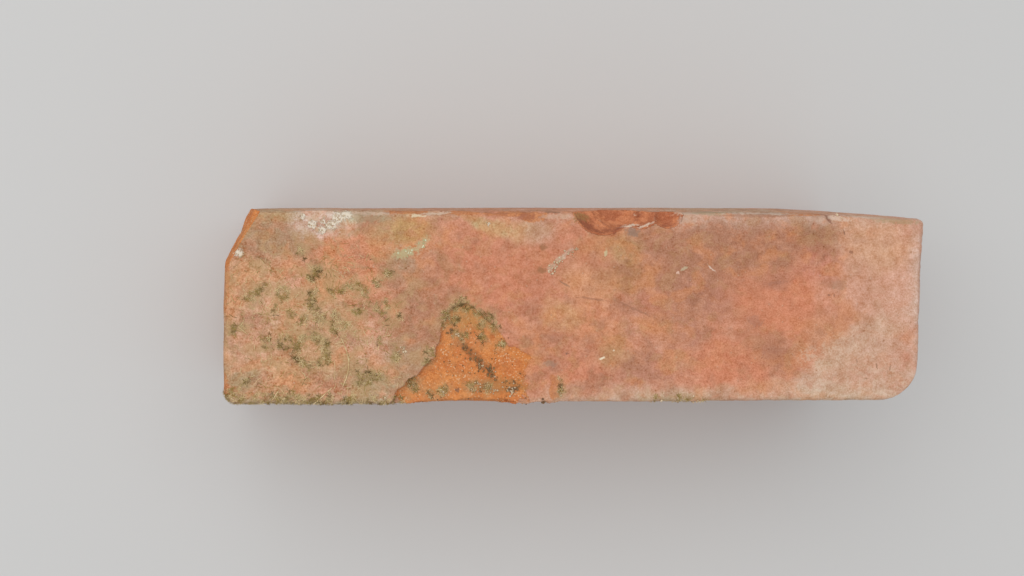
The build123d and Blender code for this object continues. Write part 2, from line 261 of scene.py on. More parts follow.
# Places of lime, pale crumbs, soot and dark grit: X, Y, reach
LIME_PLACES = (
    (-86.6, 27.2, 1.2), (-83.2, 24.6, 1.4), (-80.6, 22.9, 1.6), (-80.2, 25.8, 1.3), (-78.0, 24.6, 1.9),
    (-75.6, 26.8, 2.4), (-73.0, 27.8, 1.8), (-105.4, 15.7, 1.5), (-29.4, 24.4, 0.8),
)
PALE_CRUMB_PLACES = (
    (-3.1, 16.6, 1.5), (-4.6, 15.6, 1.6), (-6.4, 14.2, 1.7), (-8.2, 12.6, 1.5), (-10.1, 11.1, 1.8),
    (-9.0, 13.8, 1.2), (-33.2, -25.7, 1.6), (-28.3, -26.4, 1.5), (-22.7, -26.6, 2.2), (-26.0, -25.0, 1.2),
    (-39.6, -9.4, 1.0), (-34.3, -15.8, 1.2), (-31.2, -18.6, 1.3), (-27.6, -21.8, 1.2), (-53.4, -24.9, 1.3),
    (-43.2, -27.0, 1.2), (-88.0, -29.0, 1.0), (-62.0, -28.6, 1.0), (82.4, 27.2, 1.4), (26.0, -29.6, 1.1),
    (31.0, -29.9, 1.2), (36.4, -30.2, 0.9), (-55.9, -13.7, 1.2), (-7.0, -27.4, 1.0),
)
SOOT_PLACES = ((-5.2, -15.2, 0.6), (-39.0, -26.4, 0.9), (-22.0, -26.6, 1.0))
DARK_GRIT_PLACES = (
    (-36.6, -13.2, 1.1), (-35.2, -14.8, 1.2), (-33.6, -16.4, 1.2), (-31.8, -18.0, 1.2), (-29.8, -20.0, 1.1),
    (-28.0, -22.6, 1.1), (-23.4, -25.4, 1.7), (-20.8, -25.6, 1.3), (-31.0, -25.4, 1.4), (-41.6, -8.4, 0.9),
    (-12.4, -29.6, 1.0), (-43.0, -24.6, 1.0), (-34.0, -16.6, 1.5), (-32.0, -19.0, 1.4), (-28.6, -21.0, 1.4),
)

# Where crumbs and grit lie thinly over the scar: X, Y, reach
SCAR_DUST_PLACES = ((-37, -7, 6), (-41, -16, 7), (-29, -17, 7), (-48, -25, 6), (-34, -26, 6), (-21, -26, 6))

# Dry straws: the X and Y points that each one lies over, and its share of a straw's thickness
STRAWS = (
    (((-74.8, -10.1), (-73.0, -13.9), (-72.4, -18.2), (-73.0, -21.7), (-74.4, -24.9)), 1.0),
    (((-77.6, -25.1), (-79.8, -27.1), (-81.8, -28.9), (-83.4, -30.3)), 0.9),
    (((-105.8, -6.5), (-104.4, -7.5), (-102.8, -8.9)), 1.1),
    (((-93.6, -25.5), (-94.6, -27.1), (-96.0, -29.1)), 1.2),
    (((-77.0, -16.5), (-76.4, -20.1), (-77.1, -23.3)), 0.6),
)


class Wire:
    """A node's output that sums, differences, products and quotients can be written with."""

    def __init__(self, bench, socket):
        self.bench = bench
        self.socket = socket

    def __add__(self, other):
        return self.bench.combine("ADD", self, other)

    def __radd__(self, other):
        return self.bench.combine("ADD", other, self)

    def __sub__(self, other):
        return self.bench.combine("SUBTRACT", self, other)

    def __rsub__(self, other):
        return self.bench.combine("SUBTRACT", other, self)

    def __mul__(self, other):
        return self.bench.combine("MULTIPLY", self, other)

    def __rmul__(self, other):
        return self.bench.combine("MULTIPLY", other, self)

    def __truediv__(self, other):
        return self.bench.combine("DIVIDE", self, other)

    def __rtruediv__(self, other):
        return self.bench.combine("DIVIDE", other, self)

    def __abs__(self):
        return self.bench.math("ABSOLUTE", self)


def has_parts(value):
    """Whether a value is a vector or a colour, not a number."""
    if isinstance(value, Wire):
        return value.socket.type in ("VECTOR", "RGBA")
    return isinstance(value, tuple)


class Bench:
    """Adds nodes to one tree, wired as they are added."""

    def __init__(self, tree):
        self.tree = tree
        self.placed = 0

    def add(self, kind, feeds=None, **settings):
        """A new node, with its settings and then its inputs, by name or number."""
        node = self.tree.nodes.new(kind)
        node.location = (220 * (self.placed % 14), -260 * (self.placed // 14))
        self.placed += 1
        for name, value in settings.items():
            setattr(node, name, value)
        self.fill(node, feeds or {})
        return node

    def fill(self, node, feeds):
        """Feeds a node's inputs, but those that are given None."""
        for key, value in feeds.items():
            if value is not None:
                self.feed(node.inputs[key], value)

    def feed(self, socket, value):
        if isinstance(value, Wire):
            self.tree.links.new(value.socket, socket)
        else:
            socket.default_value = value

    def result(self, kind, output=0, feeds=None, **settings):
        """Adds a node and hands back one of its outputs."""
        return Wire(self, self.add(kind, feeds, **settings).outputs[output])

    def math(self, operation, first, second=None, third=None, clamp=False):
        feeds = {0: first, 1: second, 2: third}
        return self.result("ShaderNodeMath", 0, feeds, operation=operation, use_clamp=clamp)

    def vector(self, operation, first, second=None, scale=None):
        output = "Value" if operation in ("LENGTH", "DISTANCE") else "Vector"
        feeds = {0: first, 1: second, "Scale": scale}
        return self.result("ShaderNodeVectorMath", output, feeds, operation=operation)

    def combine(self, operation, first, second):
        """Two numbers or two vectors taken together, or a vector scaled by a number."""
        wide = [has_parts(first), has_parts(second)]
        if not any(wide):
            return self.math(operation, first, second)
        if all(wide):
            return self.vector(operation, first, second)
        if operation != "MULTIPLY":
            raise TypeError("a vector and a number can only be multiplied")
        if wide[0]:
            return self.vector("SCALE", first, scale=second)
        return self.vector("SCALE", second, scale=first)

    def most(self, first, second):
        return self.math("MAXIMUM", first, second)

    def least(self, first, second):
        return self.math("MINIMUM", first, second)

    def split(self, vector):
        return [Wire(self, part) for part in self.add("ShaderNodeSeparateXYZ", {0: vector}).outputs]

    def join(self, x, y, z):
        return self.result("ShaderNodeCombineXYZ", 0, {0: x, 1: y, 2: z})

    def noise(self, vector, size, detail=2.0, roughness=0.5, colour=False):
        """Noise whose lumps are about size across, in the vector's own unit."""
        feeds = {"Vector": vector, "Scale": 1 / size, "Detail": detail, "Roughness": roughness}
        return self.result("ShaderNodeTexNoise", "Color" if colour else "Fac", feeds)

    def cells(self, vector, size):
        """Distance to the middle of a cell about size across, and three chances of that cell's."""
        node = self.add("ShaderNodeTexVoronoi", {"Vector": vector, "Scale": 1 / size})
        return Wire(self, node.outputs["Distance"]), self.split(Wire(self, node.outputs["Color"]))

    def drifted(self, place, size, push, detail=2.0):
        """The place, pushed about by noise, so that what is drawn there has uneven edges."""
        return place + (self.noise(place, size, detail, colour=True) - MIDDLE) * push

    def ramp(self, value, start, end, low=0.0, high=1.0):
        """Smooth rise from low at start to high at end."""
        feeds = {"Value": value, "From Min": start, "From Max": end, "To Min": low, "To Max": high}
        return self.result("ShaderNodeMapRange", "Result", feeds, interpolation_type="SMOOTHSTEP", clamp=True)

    def mix(self, factor, first, second):
        """The first colour, covered by the second as strongly as the factor says."""
        node = self.add("ShaderNodeMix", data_type="RGBA")
        feeds = {"Factor_Float": factor, "A_Color": opaque(first), "B_Color": opaque(second)}
        for identifier, value in feeds.items():
            self.feed(socket_called(node.inputs, identifier), value)
        return Wire(self, socket_called(node.outputs, "Result_Color"))

    def group(self, tree, **values):
        kind = "GeometryNodeGroup" if self.tree.bl_idname == ON_MESH else "ShaderNodeGroup"
        feeds = {name.capitalize(): value for name, value in values.items()}
        return self.wires(self.add(kind, feeds, node_tree=tree))

    def wires(self, node):
        return {socket.name: Wire(self, socket) for socket in node.outputs}


def socket_called(sockets, identifier):
    return next(socket for socket in sockets if socket.identifier == identifier)


def opaque(colour):
    """A colour as a socket takes it."""
    return colour if isinstance(colour, Wire) else (*tuple(colour)[:3], 1.0)


def new_tree(name, kind, inputs, outputs):
    """An empty node tree with named sockets: its bench, what it is given and its output node."""
    tree = bpy.data.node_groups.new(name, kind)
    for label, socket_kind, default in inputs:
        socket = tree.interface.new_socket(label, in_out="INPUT", socket_type="NodeSocket" + socket_kind)
        if default is not None:
            socket.default_value = default
    for label, socket_kind in outputs:
        tree.interface.new_socket(label, in_out="OUTPUT", socket_type="NodeSocket" + socket_kind)
    bench = Bench(tree)
    return bench, bench.wires(bench.add("NodeGroupInput")), bench.add("NodeGroupOutput")


def stain_group(kind):
    """Mixes one egg-shaped stain with uneven edges into a colour."""
    name = "Stain on the mesh" if kind == ON_MESH else "Mark on the clay"
    if name in bpy.data.node_groups:
        return bpy.data.node_groups[name]
    inputs = (
        ("Colour", "Color", GREY),
        ("Stain", "Color", GREY),
        ("Strength", "Float", 1.0),
        ("Place", "Vector", None),
        ("Centre", "Vector", None),
        ("Reach", "Vector", (1.0, 1.0, 1.0)),
        ("Turn", "Float", 0.0),
        ("Softness", "Float", 0.5),
        ("Wear", "Float", 0.5),
        ("Ragged", "Float", 1.0),
    )
    bench, given, out = new_tree(name, kind, inputs, (("Colour", "Color"), ("Mask", "Float")))
    away = given["Place"] - given["Centre"]
    angle = given["Turn"] * -1.0
    feeds = {"Vector": away, "Angle": angle}
    turned = bench.result("ShaderNodeVectorRotate", 0, feeds, rotation_type="Z_AXIS")
    far = bench.vector("LENGTH", turned / given["Reach"])
    worn = (given["Wear"] - 0.5) * given["Ragged"]
    mask = bench.ramp(1.0 - far + worn, given["Softness"] * -1.0, given["Softness"])
    colour = bench.mix(mask * given["Strength"], given["Colour"], given["Stain"])
    bench.fill(out, {"Mask": mask, "Colour": colour})
    return bench.tree


def grain_group():
    """Fine grain of fired clay: light and dark grains, pores, and a height."""
    if "Grain" in bpy.data.node_groups:
        return bpy.data.node_groups["Grain"]
    inputs = (
        ("Place", "Vector", None),
        ("Colour", "Color", GREY),
        ("Size", "Float", 1.0),
        ("Contrast", "Float", 1.0),
    )
    bench, given, out = new_tree("Grain", ON_CLAY, inputs, (("Colour", "Color"), ("Height", "Float")))
    place = given["Place"] * (1.0 / given["Size"])
    powder = bench.noise(place, 0.5, 3, 0.7)
    mottle = bench.noise(place, 2.2, 3, 0.6)
    distance, chances = bench.cells(place, 1.1)
    near = bench.ramp(distance, 0.36, 0.16)
    pale = near * bench.ramp(chances[0], 0.92, 0.97)
    dark = near * bench.ramp(chances[0], 0.07, 0.03)
    shade = (powder - 0.5) * 1.35 + (mottle - 0.5) * 0.85 - dark * 0.25
    shade = (0.68, 1.06, 1.44) * (shade * given["Contrast"])
    toned = given["Colour"] * (shade + (1.0, 1.0, 1.0))
    colour = bench.mix(pale * (given["Contrast"] * 0.35), toned, SANDY)
    height = powder * 0.7 + mottle * 0.7 + (pale - dark) * 0.5
    bench.fill(out, {"Colour": colour, "Height": height})
    return bench.tree


def speckle_group():
    """Breaks a soft mask into the crisp, crowded specks of a growth."""
    if "Speckle" in bpy.data.node_groups:
        return bpy.data.node_groups["Speckle"]
    inputs = (
        ("Place", "Vector", None),
        ("Mask", "Float", 0.0),
        ("Size", "Float", 1.0),
        ("Crispness", "Float", 0.12),
    )
    bench, given, out = new_tree("Speckle", ON_CLAY, inputs, (("Mask", "Float"),))
    place = given["Place"] * (1.0 / given["Size"])
    level = bench.noise(place, 1.1, 4, 0.7) + given["Mask"] * 0.34
    threshold = 0.74
    crowded = bench.ramp(level, threshold - given["Crispness"], threshold + given["Crispness"])
    bench.fill(out, {"Mask": crowded * bench.ramp(given["Mask"], 0.0, 0.15)})
    return bench.tree


def new_material(name):
    """A material with its bench and its Principled shader."""
    material = bpy.data.materials.new(name)
    material.use_nodes = True
    bench = Bench(material.node_tree)
    shader = material.node_tree.nodes["Principled BSDF"]
    shader.location = (3400, 300)
    material.node_tree.nodes["Material Output"].location = (3700, 300)
    return material, bench, shader


def in_millimetres(bench):
    """Object coordinates of the brick, in millimetres."""
    return bench.result("ShaderNodeTexCoord", "Object") * METRE


def named_value(bench, name, output="Fac"):
    """A value that the mesh carries from its Geometry Nodes tree."""
    return bench.result("ShaderNodeAttribute", output, attribute_type="GEOMETRY", attribute_name=name)


def bump(bench, height, strength, distance):
    """The normal of a surface whose grains stand up by the distance in metres."""
    feeds = {"Strength": strength, "Distance": distance, "Height": height}
    return bench.result("ShaderNodeBump", "Normal", feeds)


def specks(bench, place, mask, size, crispness):
    """Mask of the crowded specks that a soft mask breaks into."""
    return bench.group(speckle_group(), place=place, mask=mask, size=size, crispness=crispness)["Mask"]


def laid_marks(bench, place, wear):
    """The small sharp marks laid over one another, and the share of the clay that they leave bare."""
    marks = (0.0, 0.0, 0.0, 1.0)
    bare = 1.0
    for tint, x, y, reach_x, reach_y, turn, strength in MARKS:
        mark = bench.group(
            stain_group(ON_CLAY),
            colour=marks,
            stain=opaque(tint),
            strength=strength,
            place=place,
            centre=(x, y, TOP),
            reach=(reach_x, reach_y, 6.0),
            turn=radians(turn),
            softness=0.4,
            wear=wear,
            ragged=3.2,
        )
        marks = mark["Colour"]
        bare = bare * bench.math("MULTIPLY_ADD", mark["Mask"], -strength, 1.0)
    return marks, bare


def clay_material(settings):
    """Fired clay with its clouds of colour, stains, fresh breaks and algae."""
    material, bench, shader = new_material("fired clay")
    place = in_millimetres(bench)
    drawn_out = bench.drifted(place, 6.0, 4.0) * (0.88, 1.0, 0.95)
    near = bench.drifted(place, 1.8, 1.1)
    clouds = bench.noise(drawn_out, 7.0, 3, 0.55)
    tints = bench.noise(drawn_out + (31.0, 7.0, 12.0), 4.2)
    curds = bench.noise(drawn_out + (5.0, 43.0, 23.0), 2.3)
    fine = bench.noise(place, 1.1, 4, 0.7)
    marks, bare = laid_marks(bench, near, fine)

    # The body colour with its stains, and the mottling that burning and weather left in it
    colour = named_value(bench, "ground", "Color")
    lively = 1.0 - named_value(bench, "calm") * 0.62
    mottling = (
        (clouds, 0.49, 0.66, 0.6, DUSKY),
        (clouds, 0.49, 0.34, 0.55, ORANGE),
        (tints, 0.51, 0.66, 0.34, (0.48, 0.26, 0.12)),
        (tints, 0.47, 0.34, 0.38, (0.62, 0.285, 0.165)),
        (curds, 0.53, 0.68, 0.24, PURPLISH),
        (curds, 0.45, 0.32, 0.18, SALMON),
    )
    for pattern, faint, full, share, tint in mottling:
        colour = bench.mix(bench.ramp(pattern, faint, full) * lively * share, colour, tint)

    # Arrises rubbed down to brighter clay
    worn = named_value(bench, "worn")
    rubbed = bench.ramp(worn + (curds - 0.5) * 2.4, 0.4, 0.8) * bench.ramp(worn, 0.02, 0.2)
    bright = bench.mix(bench.ramp(fine, 0.42, 0.6), settings.rubbed_colour, settings.rubbed_shade)
    colour = bench.mix(rubbed * 0.8, colour, bright)

    # Fresh clay where it has split
    raw = bench.mix(bench.ramp(clouds, 0.42, 0.62), settings.fracture_colour, settings.fracture_shade)
    raw = bench.mix(bench.ramp(tints, 0.48, 0.34) * 0.55, raw, settings.fracture_light)
    raw = bench.mix(bench.ramp(curds, 0.56, 0.68) * 0.45, raw, settings.fracture_dark)
    raw = bench.mix(bench.ramp(fine, 0.38, 0.3) * 0.3, raw, SANDY)
    split = bench.ramp(named_value(bench, "fracture") + (curds - 0.5) * 0.7, 0.38, 0.58)
    colour = bench.mix(split, colour, raw)

    # Knocked clay, with a dark line of painted shade where each knock meets the next
    deep = bench.mix(bench.ramp(tints, 0.4, 0.58), settings.knock_colour, settings.knock_shade)
    deep = bench.mix(bench.ramp(curds, 0.47, 0.34) * 0.7, deep, settings.knock_light)
    seam = named_value(bench, "seam") * bench.ramp(curds, 0.4, 0.6)
    deep = bench.mix(seam * 0.45, deep, settings.knock_seam_shade)
    edge = bench.ramp(named_value(bench, "knocked") + (fine - 0.5) * 0.5, 0.35, 0.6)
    colour = bench.mix(edge, colour, deep)

    # Grain all over, and paler and darker grit in the split clay
    veil = named_value(bench, "veil")
    contrast = bench.math("MULTIPLY_ADD", veil, 0.55 * settings.grain_contrast, settings.grain_contrast)
    grain = bench.group(grain_group(), place=place, colour=colour, size=1.0, contrast=contrast)
    grit = bench.noise(place, 0.6, 2, 0.6)
    gritty = split * bench.ramp(tints, 0.4, 0.58, 0.35, 1.0)
    colour = bench.mix(gritty * bench.ramp(grit, 0.56, 0.72) * 0.85, grain["Colour"], settings.fracture_speck)
    colour = bench.mix(gritty * bench.ramp(grit, 0.44, 0.3) * 0.75, colour, settings.fracture_dark)

    # A pale bloom of salt in short strokes, and the marks over it
    strokes = bench.noise((near + (3.0, 9.0, 1.0)) * (0.85, 1.1, 1.0), 1.0, 4, 0.7)
    bloom = named_value(bench, "bloom") * bench.ramp(strokes + (curds - 0.5) * 0.7, 0.52, 0.62)
    colour = bench.mix(bloom * 0.55, colour, settings.bloom_colour)
    colour = colour * bare + marks

    # Algae: an olive haze, a film where moss sits, and thin dry threads that curl through it
    growth = named_value(bench, "growth")
    haze = bench.most(veil * bench.ramp(tints, 0.44, 0.64), veil * bench.ramp(curds, 0.56, 0.7))
    colour = bench.mix(haze * 0.42, colour, settings.veil_colour)
    halo = named_value(bench, "halo") * bench.ramp(curds, 0.32, 0.56, 0.45, 1.0)
    colour = bench.mix(halo * 0.35, colour, settings.veil_colour)
    film = specks(bench, near, growth, 1.0, 0.14)
    brown = bench.ramp(bench.noise(place, 1.5), 0.42, 0.62)
    tone = bench.mix(brown, settings.algae_colour, settings.algae_shade)
    colour = bench.mix(film * 0.48, colour, tone)
    wide = bench.most(bench.ramp(growth, 0.02, 0.5), veil * bench.ramp(clouds, 0.5, 0.62, 0.0, 0.5))
    dark_thread = bench.ramp(abs(bench.noise(near, 1.7) - 0.52), 0.04, 0.012) * bench.ramp(clouds, 0.4, 0.56)
    pale_thread = bench.ramp(abs(fine - 0.5), 0.02, 0.006) * bench.ramp(tints, 0.44, 0.6)
    colour = bench.mix(dark_thread * wide * 0.65, colour, settings.thread_dark)
    colour = bench.mix(pale_thread * wide * 0.75, colour, settings.thread_pale)

    # Soot and grit specks, and lime left on the clay
    soot = specks(bench, near, named_value(bench, "soot"), 0.7, 0.1)
    colour = bench.mix(soot * 0.65, colour, settings.soot_colour)
    crust = specks(bench, near, named_value(bench, "lime"), 0.7, 0.07)
    colour = bench.mix(crust * 0.9, colour, settings.lime_colour)

    height = grain["Height"] + film * 0.6 + crust * 0.8 + split * curds * 2.5 + edge * tints * 5.0
    feeds = {
        "Base Color": colour,
        "Normal": bump(bench, height, 0.7, 0.00025),
        "Roughness": bench.ramp(grain["Height"], 0.2, 1.0, 0.82, 0.95),
        "Specular IOR Level": 0.25,
    }
    bench.fill(shader, feeds)
    return material


def moss_material(settings):
    """Moss blades, whose tufts each have a tone of their own."""
    material, bench, shader = new_material("moss")
    place = in_millimetres(bench)
    tone = named_value(bench, "tone")
    colour = bench.mix(bench.ramp(tone, 0.05, 0.45), settings.moss_dark, settings.moss_green)
    colour = bench.mix(bench.ramp(tone, 0.5, 0.8), colour, settings.moss_dry)
    grain = bench.group(grain_group(), place=place, colour=colour, size=0.6, contrast=0.6)
    bench.fill(shader, {"Base Color": grain["Colour"], "Roughness": 0.8, "Specular IOR Level": 0.2})
    return material


def crumb_material(name, light, dark):
    """Loose crumbs, each with a tone between two colours."""
    material, bench, shader = new_material(name)
    place = in_millimetres(bench)
    colour = bench.mix(named_value(bench, "tone"), light, dark)
    grain = bench.group(grain_group(), place=place, colour=colour, size=0.5, contrast=0.7)
    rough = bump(bench, grain["Height"], 0.5, 0.00008)
    bench.fill(shader, {"Base Color": grain["Colour"], "Normal": rough, "Roughness": 0.75})
    return material


def straw_material(settings):
    """Dry straw, paler along some of its length."""
    material, bench, shader = new_material("straw")
    bands = bench.noise(in_millimetres(bench), 1.8, 3, 0.6)
    colour = bench.mix(bench.ramp(bands, 0.35, 0.65), settings.straw_colour, settings.straw_shade)
    bench.fill(shader, {"Base Color": colour, "Roughness": 0.6})
    return material


def new_object(name, data):
    """A new object in the scene."""
    item = bpy.data.objects.new(name, data)
    bpy.context.collection.objects.link(item)
    return item


def block_object(name, block):
    """The block's faces as an object of their own."""
    mesh = bpy.data.meshes.new(name)
    block.to_mesh(mesh)
    block.free()
    return new_object(name, mesh)


def made_mesh(item, modifier=None):
    """The mesh that an object shows. The modifier that makes it is taken off again."""
    item.update_tag()
    bpy.context.view_layer.update()
    mesh = bpy.data.meshes.new_from_object(item.evaluated_get(bpy.context.evaluated_depsgraph_get()))
    if modifier is not None:
        item.modifiers.remove(modifier)
    return mesh


def run_tree(owner, tree, **values):
    """Runs a Geometry Nodes tree on an object and hands back the mesh it makes."""
    modifier = owner.modifiers.new("tree", "NODES")
    modifier.node_group = tree
    for item in tree.interface.items_tree:
        key = item.name.lower().replace(" ", "_")
        if item.in_out == "INPUT" and key in values:
            modifier[item.identifier] = values[key]
    return made_mesh(owner, modifier)


def ring_places(rings):
    """Places along each ring of moss, near enough to run into one another."""
    places = []
    for x, y, radius, first, last, reach in rings:
        steps = max(3, round(radius * radians(abs(last - first)) / reach))
        for step in range(steps + 1):
            angle = radians(first + (last - first) * step / steps)
            places.append((x + radius * cos(angle), y + radius * sin(angle), reach))
    return tuple(places)


# All the moss of the top face, with its rings
MOSS_CUSHIONS = MOSS_PLACES + SCAR_MOSS_PLACES + ring_places(MOSS_RINGS)


def points_object(name, places):
    """Loose vertices, each with the reach of its patch."""
    mesh = bpy.data.meshes.new(name)
    mesh.from_pydata([(x / METRE, y / METRE, TOP / METRE) for x, y, _ in places], [], [])
    reach = mesh.attributes.new("reach", "FLOAT", "POINT")
    reach.data.foreach_set("value", [r / METRE for _, _, r in places])
    return new_object(name, mesh)


def sampled(bench, cloud, value, index, kind):
    """A value of one of the points of a cloud."""
    feeds = {"Geometry": cloud, "Value": value, "Index": index}
    return bench.result("GeometryNodeSampleIndex", "Value", feeds, data_type=kind, domain="POINT")


def patch_mask(bench, position, places, ragged):
    """Mask of the ragged patches round the nearest of the given places, and of a halo round them."""
    cloud = bench.result("GeometryNodeObjectInfo", "Geometry", {"Object": places})
    level = position * (1.0, 1.0, 0.0) + (0.0, 0.0, TOP / METRE)
    feeds = {"Geometry": cloud, "Sample Position": level}
    nearest = bench.result("GeometryNodeSampleNearest", "Index", feeds, domain="POINT")
    spot = sampled(bench, cloud, bench.result("GeometryNodeInputPosition"), nearest, "FLOAT_VECTOR")
    own = bench.result("GeometryNodeInputNamedAttribute", "Attribute", {"Name": "reach"}, data_type="FLOAT")
    reach = sampled(bench, cloud, own, nearest, "FLOAT")
    drift = bench.noise(position * METRE, 2.6, 3, 0.6, colour=True) - MIDDLE
    moved = level + drift * (1.0, 1.0, 0.0) * ragged
    share = bench.vector("DISTANCE", moved, spot) / reach
    return bench.ramp(share, 1.35, 0.45), bench.ramp(share, 2.8, 0.5)


def new_geometry_tree(name, inputs):
    """A Geometry Nodes tree with the given named inputs between its geometry and its material."""
    inputs = (("Geometry", "Geometry", None), *inputs, ("Material", "Material", None))
    return new_tree(name, ON_MESH, inputs, (("Geometry", "Geometry"),))


def finish_tree(bench, geometry, given, out):
    """Ends a tree with real geometry in its material."""
    real = bench.result("GeometryNodeRealizeInstances", 0, {"Geometry": geometry})
    clad = bench.result("GeometryNodeSetMaterial", 0, {"Geometry": real, "Material": given["Material"]})
    bench.fill(out, {"Geometry": clad})
    return bench.tree


def stored(bench, geometry, name, value, domain="POINT"):
    """The geometry with a value stored on it under a name."""
    kind = "FLOAT_COLOR" if has_parts(value) else "FLOAT"
    feeds = {"Geometry": geometry, "Name": name, "Value": value}
    return bench.result("GeometryNodeStoreNamedAttribute", 0, feeds, data_type=kind, domain=domain)


def spots(bench, places, place, depth, softness, ragged, wear):
    """Mask of several egg-shaped spots of the top face, which reach some way down the sides."""
    mask = 0.0
    for x, y, reach_x, reach_y, strength in places:
        spot = bench.group(
            stain_group(ON_MESH),
            place=place,
            centre=(x, y, TOP),
            reach=(reach_x, reach_y, depth),
            softness=softness,
            wear=wear,
            ragged=ragged,
        )
        mask = bench.most(mask, spot["Mask"] * strength)
    return mask


def ground_masks(bench, place):
    """Colour of the ground, with clouds on every side and the stains of the top face, and its spots."""
    cloudy = bench.drifted(place, 18.0, 14.0, 5)
    nearby = bench.drifted(place, 7.0, 5.0, 4)
    torn = bench.noise(place, 6.5, 6, 0.62)
    broad = bench.noise(cloudy, 38.0, 5, 0.62)
    patch = bench.noise(cloudy, 13.0, 6, 0.64)
    ground = bench.mix(bench.ramp(broad, 0.4, 0.62), SALMON, ROSE)
    ground = bench.mix(bench.ramp(patch, 0.5, 0.66) * 0.45, ground, DUSKY)
    ground = bench.mix(bench.ramp(patch, 0.44, 0.3) * 0.4, ground, ORANGE)
    for tint, x, y, reach_x, reach_y, turn, strength in STAINS:
        large = min(reach_x, reach_y) >= 7
        stain = bench.group(
            stain_group(ON_MESH),
            colour=ground,
            stain=opaque(tint),
            strength=strength,
            place=cloudy if large else nearby,
            centre=(x, y, TOP),
            reach=(reach_x, reach_y, 45.0),
            turn=radians(turn),
            softness=0.5 if large else 0.6,
            wear=torn,
            ragged=1.2 if large else 1.7,
        )
        ground = stain["Colour"]
    return {
        "ground": ground,
        "worn": spots(bench, WORN_PLACES, place, 7.0, 0.35, 1.0, torn),
        "bloom": spots(bench, BLOOM_PLACES, nearby, 12.0, 0.6, 1.6, torn),
        "veil": spots(bench, VEIL_PLACES, cloudy, 16.0, 0.5, 1.6, torn),
        "calm": spots(bench, CALM_PLACES, nearby, 45.0, 0.4, 0.8, torn),
    }


def knock_masks(bench, place):
    """Where a knock took a bite, on the ball that the solid was bitten with, and where two meet, which gets a
    line of painted shade.
    """
    knocked = 0.0
    seam = 0.0
    for along, half_length, reach, drop in CHIPS:
        out_y = (half_length**2 - reach**2) / (2 * reach)
        up_z = (half_length**2 - drop**2) / (2 * drop)
        ball = (half_length**2 + out_y**2 + up_z**2) ** 0.5
        far = bench.vector("DISTANCE", place, (along, CHIP_ARRIS_Y + out_y, HIGH.z + up_z))
        hit = bench.ramp(far, ball + 0.75, ball + 0.35)
        seam = bench.most(seam, knocked * hit)
        knocked = bench.most(knocked, hit)
    return knocked, seam


